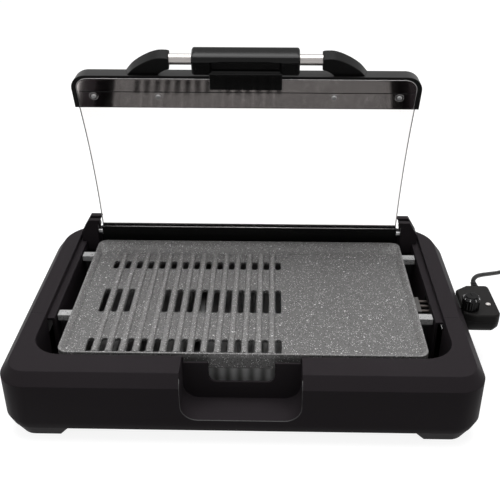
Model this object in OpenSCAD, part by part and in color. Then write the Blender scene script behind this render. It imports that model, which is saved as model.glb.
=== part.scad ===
// Electric indoor grill with a hinged glass lid and a plug-in temperature control.
// Millimetres, +Z up. The origin is on the worktop, at the centre of the base.
// -Y is the front, where the hand recess and the lid handle are.

/* [Base housing] */
// Width of the base
body_w = 554; // [540:1:580]
// Depth of the base
body_d = 372; // [364:1:400]
// Height of the top deck above the worktop
deck_z = 96; // [94:0.5:104]
// Height of the lower edge of the walls
wall_bottom = 18; // [16:0.5:20]
// Wall thickness of the moulded housing
wall = 3; // [2.5:0.1:3.5]
// Plan radius of the front corners
front_r = 34; // [26:1:44]
// Plan radius of the rear corners
rear_r = 60; // [50:1:70]
// Width of the sloped edge round the deck
bevel_w = 11; // [8:0.5:13]
// Height of the sloped edge round the deck
bevel_h = 14; // [10:0.5:16]
// How far the walls tuck in at the bottom
tuck = 5; // [3:0.5:7]
// Distance of the seam between the two covers from the front
seam_from_front = 126; // [110:1:140]
// Width of the well that holds the plate
well_w = 492; // [490:1:496]
// Distance of the well's front edge from the front
well_front = 43; // [42:0.5:44.5]
// Distance of the well's rear edge from the rear
well_rear = 19; // [18:0.5:20]
// Width of the low ledge along each side of the well
ledge_w = 9; // [7:0.5:9.5]
// Depth of the ledge below the deck
ledge_drop = 7; // [6:0.5:8]

/* [Hand recess] */
// Width of the recess in the front
recess_w = 138; // [134:1:150]
// Height of the recess floor
recess_z = 37; // [35:0.5:44]
// Radius of the lower corners of the recess
recess_r = 20; // [14:1:24]
// Depth of the recess wall's top below the deck
recess_drop = 8; // [7:0.5:10]
// Width of the finger notch in the recess wall
notch_w = 77; // [60:1:90]
// Depth of the finger notch
notch_h = 27; // [20:1:30]

/* [Grill plate] */
// Width of the grill plate
plate_w = 434; // [430:1:438]
// Depth of the grill plate
plate_d = 271; // [268:0.5:272]
// Height of the plate's rim
rim_z = 92.4; // [91.5:0.1:93]
// Depth of the cooking surface below the rim
basin_depth = 6.4; // [5:0.2:7]
// Thickness of the plate's floor
floor_t = 4; // [3:0.2:4.5]
// Depth of the plate's outer skirt below its floor
skirt_drop = 5; // [4:0.2:5.4]
// Distance between ribs
rib_pitch = 16.1; // [15.5:0.1:16.4]
// Number of slots in each row
slot_count = 15; // [12:1:15]
// Width of each slot
slot_w = 7.6; // [6:0.2:8.4]
// Height of the ribs
rib_h = 3; // [2:0.2:3.4]

/* [Lid] */
// Half width of the glass at the hinge
glass_rear_hw = 212; // [206:0.5:213]
// Half width of the glass at the front
glass_front_hw = 208; // [204:0.5:212]
// Glass thickness
glass_t = 4; // [3:0.5:5]
// Radius that the glass is bent to
glass_bend_r = 780; // [700:10:900]
// Distance from the hinge to the front lip
lid_reach = 284; // [282:0.5:284]
// How far the lid stands open, measured from level
lid_open = 68.3; // [60:0.1:72]
// Height of the hinge axis above the deck
hinge_rise = 4; // [3:0.25:5]
// Distance of the hinge axis from the rear of the base
hinge_inset = 36; // [35:0.25:36.5]
// Diameter of the hinge rod
rod_d = 8; // [6:0.5:9]

/* [Handle] */
// Diameter of the steel handle tube
tube_d = 13; // [11:0.5:14]
// Half width of the gap between the handle posts
post_gap = 91; // [84:1:100]
// Distance from the front lip to the tube's centre
handle_reach = 15; // [14:0.5:18]
// Width of the grip in the middle
grip_w = 128; // [110:1:130]

/* [Temperature control] */
// Width of the control out from the base
control_w = 46; // [42:1:52]
// Length of the control along the base
control_l = 73; // [66:1:76]
// Height of the control housing
control_h = 26; // [24:0.5:28]
// Diameter of the dial
dial_d = 22.4; // [20:0.2:22.4]
// Height of the dial
dial_h = 18.6; // [14:0.2:20]

/* [Power cord] */
// Diameter of the cord
cord_d = 6.2; // [5.6:0.1:6.4]

/* [Hidden] */
$fn = 48;

// shared clearances
gap = 0.3;
running = 0.05;
eps = 0.01;

// base
front_y = -body_d / 2;
rear_y = body_d / 2;
seam_y = front_y + seam_from_front;
well_y0 = front_y + well_front;
well_y1 = rear_y - well_rear;
well_r = 36;
well_rear_r = 5;
skirt_z = 30;
ledge_z = deck_z - ledge_drop;
tuck_h = 12;
edge_t = 0.8;
foot_set = 0.3;
foot_top_t = 2.8;
recess_back_t = 2.5;
pad_h = 2;
pad_r = 13;
pad_recess = 1.5;
pan_t = 2.5;
pan_z = wall_bottom + foot_top_t + gap;
screw_hole_d = 4.6;
screw_d = 4;
screw_l = 10;
pan_top = pan_z + pan_t;

// plate: its centre sits a little forward of the base's centre
plate_gap_rear = 13;
hinge_y = rear_y - hinge_inset;
hinge_z = deck_z + hinge_rise;
plate_y1 = hinge_y - plate_gap_rear;
plate_y0 = plate_y1 - plate_d;
surface_z = rim_z - basin_depth;
under_z = surface_z - floor_t;
skirt_bottom = under_z - skirt_drop;
plate_r = 12;
plate_wall = 3;
first_slot_x = -plate_w / 2 + 34;
last_slot_x = first_slot_x + (slot_count - 1) * rib_pitch;
griddle_x = last_slot_x + slot_w / 2 + 3;
// slots run between the two lanes that the heating element lies under
front_lane_y = plate_y0 + 64;
rear_lane_y = plate_y1 - 96;
lane_half = 26;
slot_front = [plate_y0 + 10, front_lane_y - lane_half];
slot_middle = [front_lane_y + lane_half + 4, rear_lane_y - lane_half];
slot_rear = [rear_lane_y + lane_half, plate_y1 - 49];
// columns over the element's left bend have no middle slots
bend_first = 3;
bend_last = 4;
lug_w = 12;
lug_h = 8;
lug_reach = 19;
lug_top = under_z + 4;
lug_ys = [plate_y0 + 91, plate_y1 - 31];
lift_gap = gap;

// heating element and what carries it
element_r = 3.5;
element_z = skirt_bottom - 4;
bend_r = 26;
feed_r = 12;
feed_y = 11;
feed_x = plate_w / 2 - 19;
loop_x = first_slot_x + rib_pitch * (bend_first + bend_last) / 2;
tray_t = 1.2;
tray_top = element_z - element_r - 3.6;
tray_floor = 40;
fold_r = 2.5;
tray_hw = plate_w / 2 - 5;
tray_y0 = plate_y0 + 10;
tray_y1 = plate_y1 - 8;
strap_xs = [-60, 120];
strap_w = 12;
block_x0 = plate_w / 2 - 2;
block_l = 13;
block_hw = 17;
block_h = 14;
pin_r = 2.3;
pin_l = 34;
probe_r = 2.5;
probe_hole_r = 3.2;

// control, hung on the terminals at the right of the base
axis_z = element_z;
nose_hw = 15;
nose_h = 16;
nose_x0 = block_x0 + block_l + 13;
control_x0 = body_w / 2 + 2;
control_x1 = control_x0 + control_w;
control_z0 = axis_z - 15;
control_z1 = control_z0 + control_h;
control_split = axis_z;
dial_x = control_x0 + dial_d / 2 - 1.8;
dial_y = -control_l / 4 - 0.5;
shaft_r = 3;
shaft_l = 9;

// lid, worked out in the closed lid's own directions: reach is forward of the hinge, rise is up
glass_start = 9;
glass_rear_rise = 0.5;
glass_end = lid_reach - 38;
glass_end_rise = 7.2;
glass_run = glass_end - glass_start;
glass_chord = sqrt(glass_run * glass_run + pow(glass_end_rise - glass_rear_rise, 2));
glass_slope = atan2(glass_end_rise - glass_rear_rise, glass_run);
glass_dip = sqrt(pow(glass_bend_r, 2) - pow(glass_chord / 2, 2));
glass_mid = glass_start + glass_run / 2;
glass_c_reach = glass_mid + glass_dip * sin(glass_slope);
glass_c_rise = (glass_rear_rise + glass_end_rise) / 2 - glass_dip * cos(glass_slope);
bar_hw = glass_rear_hw + 1;
rod_reach = bar_hw + 25;
trim_hw = glass_front_hw + 4;
lip_rise = 2.6;
trim_top = 26;
trim_rake = 8.5;
trim_corner = 12;
grip_hw = grip_w / 2;
tab_hw = grip_w * 0.34;
tube_reach = lid_reach + handle_reach;
tube_rise = 16;
post_base_hw = post_gap + 56;
post_t = 18;

// free cord: hand-chosen route points from the strain relief to the coil
relief_len = 29;
relief_start = [311, control_l / 2, axis_z - 1.6];
relief_end = [312.5, control_l / 2 + relief_len, axis_z - 3];
cord_points = [
    relief_end, [314.6, 74, 69.2], [318.7, 83, 67.3], [324.5, 93, 64], [331.5, 103, 59.5],
    [339.5, 114, 54], [348, 126, 47.5], [357, 139, 40.5], [366, 152, 33.5], [375, 165, 26.5],
    [384, 178, 20], [393, 191, 14.2], [402, 204, 9.4], [411, 216.5, 6.2], [421, 228, 4.7],
    [432, 237.5, 4.3], [444, 244.5, 4.3], [457, 248.6, 4.3]];
coil_c = [478, 212];
coil_mid_r = 36;
coil_turns = 3.25;
coil_z0 = 1.2;
plug_at = [514, 158];
plug_l = 34;
blade_l = 17;
plug_h = 17;
lead_points = [
    [514, 211, 4.6], [514, 203, 4.7], [514, 195, 5], [514, 187, 5.6], [514, 179, 6.6], [514, 171, 7.7],
    [514, 164, 8.4], [514, 158, 8.5]];

// rectangle with one radius on its front corners and another on its rear corners
module rounded_outline(half, y0, y1, front_corner, rear_corner) {
    translate([-half, y0 + front_corner])
        square([2 * half, y1 - y0 - front_corner - rear_corner]);
    translate([-half + front_corner, y0])
        square([2 * (half - front_corner), front_corner + 1]);
    translate([-half + rear_corner, y1 - rear_corner - 1])
        square([2 * (half - rear_corner), rear_corner + 1]);
    for (side = [-1, 1]) {
        translate([side * (half - front_corner), y0 + front_corner])
            circle(r = front_corner);
        translate([side * (half - rear_corner), y1 - rear_corner])
            circle(r = rear_corner);
    }
}

// outline of the housing, drawn in by inset
module housing_outline(inset) {
    rounded_outline(body_w / 2 - inset, front_y + inset, rear_y - inset, front_r - inset, rear_r - inset);
}

// slab of the housing's outline at a height
module outline_slab(z, thick, inset) {
    translate([0, 0, z])
        linear_extrude(thick)
            housing_outline(inset);
}

// housing body: tucked in at the foot, upright wall, sloped edge, flat deck
module housing_form(shrink, top_drop, low) {
    hull() {
        outline_slab(wall_bottom - low, edge_t, tuck + shrink);
        outline_slab(wall_bottom + tuck_h, deck_z - bevel_h - wall_bottom - tuck_h, shrink);
        outline_slab(deck_z - top_drop - edge_t, edge_t, bevel_w + shrink / 2);
    }
}

// everything in front of, or behind, the seam
module front_half() {
    translate([-body_w, front_y - 10, -1])
        cube([2 * body_w, seam_y - gap / 2 - front_y + 10, deck_z + 2]);
}

module rear_half() {
    translate([-body_w, seam_y + gap / 2, -1])
        cube([2 * body_w, body_d, deck_z + 2]);
}

// outline of the well, narrowed on each side, or grown all round
module well_outline(narrow, grow) {
    rounded_outline(
        well_w / 2 - narrow + grow, well_y0 - grow, well_y1 + grow, well_r + grow, well_rear_r + grow);
}

module well_prism(z0, z1, narrow, grow) {
    translate([0, 0, z0])
        linear_extrude(z1 - z0)
            well_outline(narrow, grow);
}

// wall of the well, from the deck down
module well_skirt(z0, z1, narrow) {
    translate([0, 0, z0])
        linear_extrude(z1 - z0)
            difference() {
                well_outline(narrow, wall);
                well_outline(narrow, 0);
            }
}

// one corner's foot, from the wall's lower edge down to its pad, with slanted inner faces
module corner_foot(side, end) {
    foot_x = 76;
    foot_y = 64;
    hull() {
        translate([0, 0, wall_bottom])
            linear_extrude(foot_top_t)
                intersection() {
                    housing_outline(tuck + foot_set);
                    translate([side * (body_w / 2 - foot_x / 2), end * (body_d / 2 - foot_y / 2)])
                        square([foot_x, foot_y], center = true);
                }
        translate([0, 0, pad_h - pad_recess])
            linear_extrude(edge_t)
                intersection() {
                    housing_outline(tuck + 10);
                    translate([side * (body_w / 2 - foot_x / 2 + 6), end * (body_d / 2 - foot_y / 2 + 6)])
                        square([foot_x - 12, foot_y - 12], center = true);
                }
    }
}

foot_x_at = body_w / 2 - 40;
foot_y_at = body_d / 2 - 34;

// slot with round ends, along Y
module round_slot(x, span, width) {
    for (end = [span[0] + width / 2, span[1] - width / 2])
        translate([x, end])
            circle(d = width, $fn = 24);
    translate([x - width / 2, span[0] + width / 2])
        square([width, span[1] - span[0] - width]);
}

// shallow round seat that a rubber pad sits in, and the screw's hole above it
module foot_holes() {
    for (side = [-1, 1], end = [-1, 1])
        translate([side * foot_x_at, end * foot_y_at, 0]) {
            translate([0, 0, -1])
                cylinder(r = pad_r + 0.2, h = pad_h + 1);
            translate([0, 0, pan_top - screw_l - 1])
                cylinder(d = screw_hole_d, h = screw_l + 1);
        }
}

// section of the hand recess, seen from the front, grown by a wall
module recess_section(grow) {
    u_section(recess_w / 2, recess_z, deck_z + 10, recess_r, grow);
}

// U-shaped section with round lower corners, grown by a wall
module u_section(half, low, high, corner, grow) {
    for (side = [-1, 1])
        translate([side * (half - corner), low + corner])
            circle(r = corner + grow);
    translate([-half - grow, low + corner])
        square([2 * (half + grow), high - low - corner]);
    translate([-half + corner, low - grow])
        square([2 * (half - corner), corner + grow + 1]);
}

module recess_prism(grow, y0, y1) {
    translate([0, y1, 0])
        rotate([90, 0, 0])
            linear_extrude(y1 - y0)
                recess_section(grow);
}

// finger notch with round lower corners, through the recess's rear wall
module finger_notch() {
    notch_r = 9;
    notch_top = deck_z - recess_drop;
    translate([0, well_y0 + 1, 0])
        rotate([90, 0, 0])
            linear_extrude(wall + 2)
                u_section(notch_w / 2, notch_top - notch_h, notch_top + 5, notch_r, 0);
}

// front cover: U shape with the wide front lip, two feet and the hand recess
module front_cover() {
    color("#2b2728")
        difference() {
            union() {
                intersection() {
                    difference() {
                        housing_form(0, 0, 0);
                        housing_form(wall, wall, 1);
                    }
                    front_half();
                }
                intersection() {
                    well_skirt(skirt_z, deck_z - 1, 0);
                    front_half();
                }
                intersection() {
                    housing_form(1, 1, 0);
                    recess_prism(wall, front_y - 5, well_y0 - 1);
                }
                corner_foot(-1, -1);
                corner_foot(1, -1);
            }
            well_prism(skirt_z - 20, deck_z + 1, 0, 0);
            recess_prism(0, front_y - 5, well_y0 - recess_back_t);
            translate([-recess_w / 2 + 1.5, well_y0 - wall - 2, deck_z - recess_drop])
                cube([recess_w - 3, wall + 4, recess_drop + 5]);
            finger_notch();
            foot_holes();
        }
}

// rear frame: side rails with a low inner ledge, rear wall and two feet
module rear_frame() {
    color("#3a3535")
        difference() {
            union() {
                intersection() {
                    union() {
                        difference() {
                            housing_form(0, 0, 0);
                            housing_form(wall, wall, 1);
                        }
                        well_skirt(ledge_z - wall, deck_z - 1, 0);
                        well_skirt(skirt_z, ledge_z - wall / 2, ledge_w);
                        translate([0, 0, ledge_z - wall])
                            linear_extrude(wall)
                                difference() {
                                    well_outline(0, wall);
                                    well_outline(ledge_w, 0);
                                }
                    }
                    rear_half();
                }
                corner_foot(-1, 1);
                corner_foot(1, 1);
            }
            well_prism(skirt_z - 20, deck_z + 1, ledge_w, 0);
            well_prism(ledge_z, deck_z + 1, 0, 0);
            socket_hole();
            foot_holes();
        }
}

// opening for the control through the right-hand rail
module socket_hole() {
    bezel_hw = nose_hw + 3;
    translate([well_w / 2 - ledge_w - 1, -bezel_hw - gap, axis_z - nose_h / 2 - 3 - gap])
        cube([body_w, 2 * (bezel_hw + gap), nose_h + 2 * (3 + gap)]);
}

// bottom pan with rows of vent slots and four lengthwise ribs
module floor_pan() {
    slots_across = 9;
    slot_step = 34;
    vent_w = 5;
    vent_l = 46;
    color("#1e1c1d") {
        difference() {
            translate([0, 0, pan_z])
                linear_extrude(pan_t)
                    difference() {
                        housing_outline(tuck + wall + 2);
                        for (column = [0 : slots_across - 1], row = [-1, 1])
                            translate([(column - (slots_across - 1) / 2) * slot_step, row * 70 + 6])
                                round_slot(0, [-vent_l / 2, vent_l / 2], vent_w);
                    }
            for (side = [-1, 1], end = [-1, 1])
                translate([side * foot_x_at, end * foot_y_at, pan_z - 1])
                    cylinder(d = screw_hole_d, h = pan_t + 2);
        }
        for (side = [-1, 1], end = [-1, 1])
            translate([side * 120 - 4, end * 90 - 4 + 6, pan_top])
                cube([8, 8, tray_floor + tray_t - fold_r - gap - pan_top]);
    }
}

// screws down through the pan into the feet
module housing_screws() {
    color("#8a8a8c")
        for (side = [-1, 1], end = [-1, 1])
            translate([side * foot_x_at, end * foot_y_at, pan_top]) {
                cylinder(d = 8, h = 2.4);
                translate([0, 0, -screw_l])
                    cylinder(d = screw_d, h = screw_l + 1);
            }
}

module foot_pads() {
    color("#141414")
        for (side = [-1, 1], end = [-1, 1])
            translate([side * foot_x_at, end * foot_y_at, 0])
                cylinder(r = pad_r, h = pad_h);
}

// four posts in the well that the plate's lugs stand on
module plate_rests() {
    post_w = 11;
    post_l = lug_w + 2;
    post_x = plate_w / 2 + 3.5;
    color("#1e1c1d")
        for (side = [-1, 1], y = lug_ys)
            translate([side * (post_x + post_w / 2) - post_w / 2, y - post_l / 2, pan_top])
                difference() {
                    cube([post_w, post_l, lug_top - lug_h - lift_gap - pan_top]);
                    translate([2, 2, -1])
                        cube([post_w - 4, post_l - 4, lug_top - lug_h - pan_top - 3]);
                }
}

// hooked tower at the left rear corner; its slot is open at the top so that the rod lifts out
bracket_d = 24;
module hinge_bracket() {
    inner_x = bar_hw + 6.5;
    outer_x = well_w / 2 - 3;
    hook_x = bar_hw + 1.5;
    foot_out = well_w / 2 - ledge_w - gap;
    top_z = deck_z + 27;
    translate([0, hinge_y + bracket_d / 2 + 1, 0])
        rotate([90, 0, 0])
            linear_extrude(bracket_d)
                polygon([
                    [inner_x, deck_z - 22], [foot_out, deck_z - 22], [foot_out, ledge_z], [outer_x, ledge_z],
                    [outer_x, deck_z + 8], [outer_x - 11.5, top_z], [hook_x, top_z], [inner_x, deck_z + 17],
                    [inner_x - 1, deck_z + 12], [inner_x, deck_z + 8]]);
}

module rod_slot() {
    translate([0, hinge_y, hinge_z]) {
        rotate([0, 90, 0])
            cylinder(r = rod_d / 2 + running, h = rod_reach + 1);
        translate([0, -rod_d / 2 - running, 0])
            cube([rod_reach + 1, rod_d + 2 * running, 40]);
    }
}

module hinge_bracket_right() {
    color("#242122")
        difference() {
            hinge_bracket();
            rod_slot();
        }
}

module hinge_bracket_left() {
    color("#242122")
        mirror([1, 0, 0])
            difference() {
                hinge_bracket();
                rod_slot();
            }
}

// aluminium pan under the element, with a corrugated floor and front
module drip_tray() {
    fold_pitch = 14;
    folds = floor(2 * (tray_hw - 12) / fold_pitch);
    color("#a3a3a6") {
        difference() {
            translate([-tray_hw, tray_y0, tray_floor])
                cube([2 * tray_hw, tray_y1 - tray_y0, tray_top - tray_floor]);
            translate([-tray_hw + tray_t, tray_y0 + tray_t, tray_floor + tray_t])
                cube([2 * (tray_hw - tray_t), tray_y1 - tray_y0 - 2 * tray_t, tray_top]);
        }
        for (fold = [0 : folds - 1])
            translate([(fold - (folds - 1) / 2) * fold_pitch, tray_y0 + tray_t, tray_floor + tray_t])
                rotate([-90, 0, 0])
                    cylinder(r = fold_r, h = tray_y1 - tray_y0 - 2 * tray_t, $fn = 8);
    }
}

// two flat steel straps across the tray's rim, which the element is clipped to
module element_straps() {
    strap_t = element_z - element_r - gap - tray_top;
    color("#77777a")
        for (x = strap_xs)
            translate([x - strap_w / 2, tray_y0, tray_top])
                cube([strap_w, tray_y1 - tray_y0, strap_t]);
}

// straight rod between two points at the element's height
module element_rod(a, b) {
    run = b - a;
    translate([a[0], a[1], element_z])
        rotate([0, 90, atan2(run[1], run[0])])
            cylinder(r = element_r, h = norm(run), $fn = 32);
}

// quarter bend about a centre, from a start angle
module element_bend(centre, radius, start, sweep) {
    translate([centre[0], centre[1], element_z])
        rotate([0, 0, start])
            rotate_extrude(angle = sweep, $fn = 64)
                translate([radius, 0])
                    circle(r = element_r, $fn = 32);
}

// sheathed element: a loop under the plate's two lanes, its ends brought to the terminals
module heating_element() {
    rear = rear_lane_y;
    front = front_lane_y;
    turn_x = feed_x - 2 * feed_r;
    color("#5c5a5b") {
        element_rod([feed_x, feed_y], [block_x0 - gap, feed_y]);
        element_bend([feed_x, feed_y + feed_r], feed_r, 180, 90);
        element_rod([feed_x - feed_r, feed_y + feed_r], [feed_x - feed_r, rear - feed_r]);
        element_bend([turn_x, rear - feed_r], feed_r, 0, 90);
        element_rod([loop_x + bend_r, rear], [turn_x, rear]);
        element_bend([loop_x + bend_r, rear - bend_r], bend_r, 90, 90);
        element_rod([loop_x, front + bend_r], [loop_x, rear - bend_r]);
        element_bend([loop_x + bend_r, front + bend_r], bend_r, 180, 90);
        element_rod([loop_x + bend_r, front], [turn_x, front]);
        element_bend([turn_x, front + feed_r], feed_r, 270, 90);
        element_rod([feed_x - feed_r, front + feed_r], [feed_x - feed_r, -feed_y - feed_r]);
        element_bend([feed_x, -feed_y - feed_r], feed_r, 90, 90);
        element_rod([feed_x, -feed_y], [block_x0 - gap, -feed_y]);
    }
}

// folded steel bracket that stands on the pan and holds the terminal block
module terminal_bracket() {
    bracket_x = block_x0 + 3;
    bracket_t = 2;
    top = element_z - block_h / 2 - gap;
    color("#77777a") {
        translate([bracket_x, -block_hw, pan_top])
            cube([bracket_t, 2 * block_hw, top - pan_top]);
        translate([bracket_x, -block_hw, top - bracket_t])
            cube([block_l - 4, 2 * block_hw, bracket_t]);
        translate([bracket_x, -block_hw, pan_top])
            cube([block_l - 3, 2 * block_hw, bracket_t]);
    }
}

// ceramic block with the two terminals and the hole for the sensor
module terminal_block() {
    block_top = skirt_bottom - 0.6;
    color("#d8d2c4")
        difference() {
            translate([block_x0, -block_hw, element_z - block_h / 2])
                cube([block_l, 2 * block_hw, min(block_h, block_top - element_z + block_h / 2)]);
            translate([block_x0 - 1, 0, axis_z])
                rotate([0, 90, 0])
                    cylinder(r = probe_hole_r, h = block_l + 2);
            for (side = [-1, 1])
                translate([block_x0 - 1, side * feed_y, axis_z])
                    rotate([0, 90, 0])
                        cylinder(r = pin_r + running, h = block_l + 2);
        }
}

module terminal_pins() {
    color("#b9b9bc")
        for (side = [-1, 1])
            translate([block_x0 + 1, side * feed_y, axis_z])
                rotate([0, 90, 0]) {
                    cylinder(r = pin_r, h = pin_l);
                    translate([0, 0, pin_l])
                        cylinder(r1 = pin_r, r2 = pin_r * 0.55, h = 2);
                }
}

// sleeve that lines the opening in the rail
module socket_bezel() {
    sleeve_t = 2.4;
    bezel_set = 2.6;
    x0 = well_w / 2 - ledge_w;
    color("#1b1919")
        difference() {
            translate([x0, -nose_hw - 3, axis_z - nose_h / 2 - 3])
                cube([body_w / 2 - x0 - bezel_set, 2 * (nose_hw + 3), nose_h + 6]);
            translate([x0 - 1, -nose_hw - 3 + sleeve_t, axis_z - nose_h / 2 - 3 + sleeve_t])
                cube([body_w, 2 * (nose_hw + 3 - sleeve_t), nose_h + 6 - 2 * sleeve_t]);
        }
}

// outline of the plate, drawn in on all sides and further at the rear
module plate_outline(inset, rear_inset) {
    corner = max(plate_r - inset / 2, 4);
    rounded_outline(plate_w / 2 - inset, plate_y0 + inset, plate_y1 - rear_inset, corner, corner);
}

module plate_slots() {
    for (column = [0 : slot_count - 1]) {
        x = first_slot_x + column * rib_pitch;
        round_slot(x, slot_front, slot_w);
        round_slot(x, slot_rear, slot_w);
        if (column < bend_first || column > bend_last)
            round_slot(x, slot_middle, slot_w);
    }
}

// raised rib with a rounded top, along Y
module rib(x, y0, y1) {
    base_w = rib_pitch - slot_w - 0.6;
    translate([x, y1, surface_z - eps])
        rotate([90, 0, 0])
            linear_extrude(y1 - y0)
                polygon([
                    [-base_w / 2, 0], [-base_w * 0.4, rib_h * 0.62], [-base_w * 0.22, rib_h * 0.93], [0, rib_h],
                    [base_w * 0.22, rib_h * 0.93], [base_w * 0.4, rib_h * 0.62], [base_w / 2, 0]]);
}

// cast plate: sloped rim, ribs with drain slots on the left, flat griddle on the right, side lugs
module grill_plate() {
    color("#6b696a") {
        difference() {
            union() {
                translate([0, 0, skirt_bottom])
                    linear_extrude(rim_z - skirt_bottom)
                        plate_outline(0, 0);
                for (side = [-1, 1], y = lug_ys)
                    translate([side * (plate_w / 2 + lug_reach / 2 - 1), y, lug_top - lug_h / 2])
                        cube([lug_reach + 2, lug_w, lug_h], center = true);
                translate([-notch_w / 2, plate_y0, skirt_bottom - 5])
                    cube([notch_w, plate_wall, 6]);
            }
            hull() {
                translate([0, 0, surface_z])
                    linear_extrude(eps)
                        plate_outline(8, 27);
                translate([0, 0, rim_z])
                    linear_extrude(eps)
                        plate_outline(2.4, 4);
            }
            translate([0, 0, skirt_bottom - 8])
                linear_extrude(under_z - skirt_bottom + 8)
                    plate_outline(plate_wall, plate_wall);
            translate([0, 0, under_z - 1])
                linear_extrude(basin_depth + floor_t)
                    plate_slots();
        }
        for (column = [0 : slot_count - 2])
            rib(first_slot_x + (column + 0.5) * rib_pitch, plate_y0 + 8.6, plate_y1 - 30);
    }
}

// places a piece of the lid: the hinge axis is its origin, and the lid is turned open
module on_lid() {
    translate([0, hinge_y, hinge_z])
        rotate([-lid_open, 0, 0])
            children();
}

// section drawn as [reach, rise] points, carried across the lid between two x values
module lid_extrude(x0, x1) {
    translate([x0, 0, 0])
        rotate([90, 0, 90])
            linear_extrude(x1 - x0)
                mirror([1, 0])
                    children();
}

// round bar along X at a reach and rise
module lid_cylinder(reach, rise, radius, x0, x1) {
    translate([x0, -reach, rise])
        rotate([0, 90, 0])
            cylinder(r = radius, h = x1 - x0);
}

module hinge_rod() {
    color("#c4c4c6")
        translate([-rod_reach, hinge_y, hinge_z])
            rotate([0, 90, 0])
                cylinder(d = rod_d, h = 2 * rod_reach);
}

// bent tempered pane, a little narrower at the front than at the hinge
module glass_plan(grow) {
    polygon([
        [-glass_rear_hw - grow, -glass_start], [glass_rear_hw + grow, -glass_start],
        [glass_front_hw + grow, -glass_end], [-glass_front_hw - grow, -glass_end]]);
}

module lid_glass() {
    color("#dfe8ea", 0.35)
        on_lid()
            intersection() {
                translate([-glass_rear_hw - 1, -glass_c_reach, glass_c_rise])
                    rotate([0, 90, 0])
                        difference() {
                            cylinder(r = glass_bend_r, h = 2 * glass_rear_hw + 2, $fn = 200);
                            translate([0, 0, -1])
                                cylinder(r = glass_bend_r - glass_t, h = 2 * glass_rear_hw + 4, $fn = 200);
                        }
                translate([0, 0, -30])
                    linear_extrude(90)
                        glass_plan(0);
            }
}

// moulded bar along the rear edge of the glass, bored for the rod
module lid_hinge_bar() {
    color("#1d1b1c")
        on_lid()
            difference() {
                lid_extrude(-bar_hw, bar_hw)
                    polygon([[-11, -8], [5, -8], [14, -6.2], [17, -4.6], [17, -2.1 - gap], [8.7, -3.6 - gap],
                        [8.7, 4.4], [5, 9], [-8, 9], [-11, 6]]);
                lid_cylinder(0, 0, rod_d / 2 + running, -bar_hw - 1, bar_hw + 1);
            }
}

// cover strip screwed over the rear edge of the glass
module lid_clamp_strip() {
    color("#2a2829")
        on_lid()
            lid_extrude(-bar_hw, bar_hw)
                polygon([[9, 0.6 + gap], [16, 1.9 + gap], [16, 4.6], [12, 6.8], [9, 6.8]]);
}

// front trim: slanted front face, inner flange under the glass and a cover over it
module lid_front_trim() {
    lip = lid_reach;
    color("#1d1b1c")
        on_lid()
            intersection() {
                union() {
                    lid_extrude(-trim_hw, trim_hw)
                        polygon([
                            [lip, lip_rise], [lip - trim_rake, trim_top], [lip - 12, 28.6], [lip - 17, 29], [lip - 46, 15.5],
                            [lip - 46, 8.6 + gap], [lip - 38 + gap, 7.5 + gap], [lip - 38 + gap, 7.2 - glass_t - gap],
                            [lip - 48, 4.3 - gap], [lip - 48, 1.6], [lip - 4, lip_rise]]);
                }
                translate([0, 0, -30])
                    linear_extrude(90)
                        hull() {
                            for (side = [-1, 1]) {
                                translate([side * (trim_hw - trim_corner), -lip + trim_corner])
                                    circle(r = trim_corner);
                                translate([side * trim_hw - (side > 0 ? 4 : 0), -lip + 49])
                                    square([4, 2]);
                            }
                        }
            }
}

// round screw heads on the inner flange and on the clamp strip
module lid_screws() {
    head_r = 3.4;
    color("#8a8a8c")
        on_lid()
            for (x = [-186, -107, 107, 186])
                translate([x, -(lid_reach - 30), -0.2])
                    cylinder(r1 = head_r * 0.7, r2 = head_r, h = 1.8);
}

// horn-shaped post, seen in the plane of the lid, from the trim out to the tube's end
module handle_post() {
    root = lid_reach - 8.2;
    tip = tube_reach + tube_d / 2 + 1;
    difference() {
        translate([0, 0, tube_rise - post_t / 2])
            linear_extrude(post_t)
                polygon([
                    [post_gap, -tip + 0.8], [post_gap + 3, -tip], [post_gap + 10, -tip + 0.8],
                    [post_gap + 20, -tip + 3.2], [post_gap + 29, -tip + 6.8], [post_gap + 38, -tip + 12],
                    [post_gap + 47, -tip + 19.5], [post_base_hw, -root], [post_gap + 20, -root],
                    [post_gap + 12, -tip + 22], [post_gap + 5, -tip + 17.4], [post_gap, -tip + 16]]);
        lid_cylinder(tube_reach, tube_rise, tube_d / 2 + running, post_gap - 1, post_gap + 14);
        lid_extrude(0, trim_hw)
            translate([gap, 0])
                polygon([
                    [lid_reach + trim_rake, lip_rise - trim_top], [lid_reach, lip_rise],
                    [lid_reach - 2 * trim_rake, 2 * trim_top - lip_rise], [lid_reach - 60, trim_top],
                    [lid_reach - 60, 0]]);
    }
}

module handle_post_right() {
    color("#151314")
        on_lid()
            handle_post();
}

module handle_post_left() {
    color("#151314")
        on_lid()
            mirror([1, 0, 0])
                handle_post();
}

// steel tube between the posts
module handle_tube() {
    half = post_gap + 13;
    color("#c9c9cb")
        on_lid()
            difference() {
                lid_cylinder(tube_reach, tube_rise, tube_d / 2, -half, half);
                lid_cylinder(tube_reach, tube_rise, tube_d / 2 - 1.2, -half - 1, half + 1);
            }
}

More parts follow.
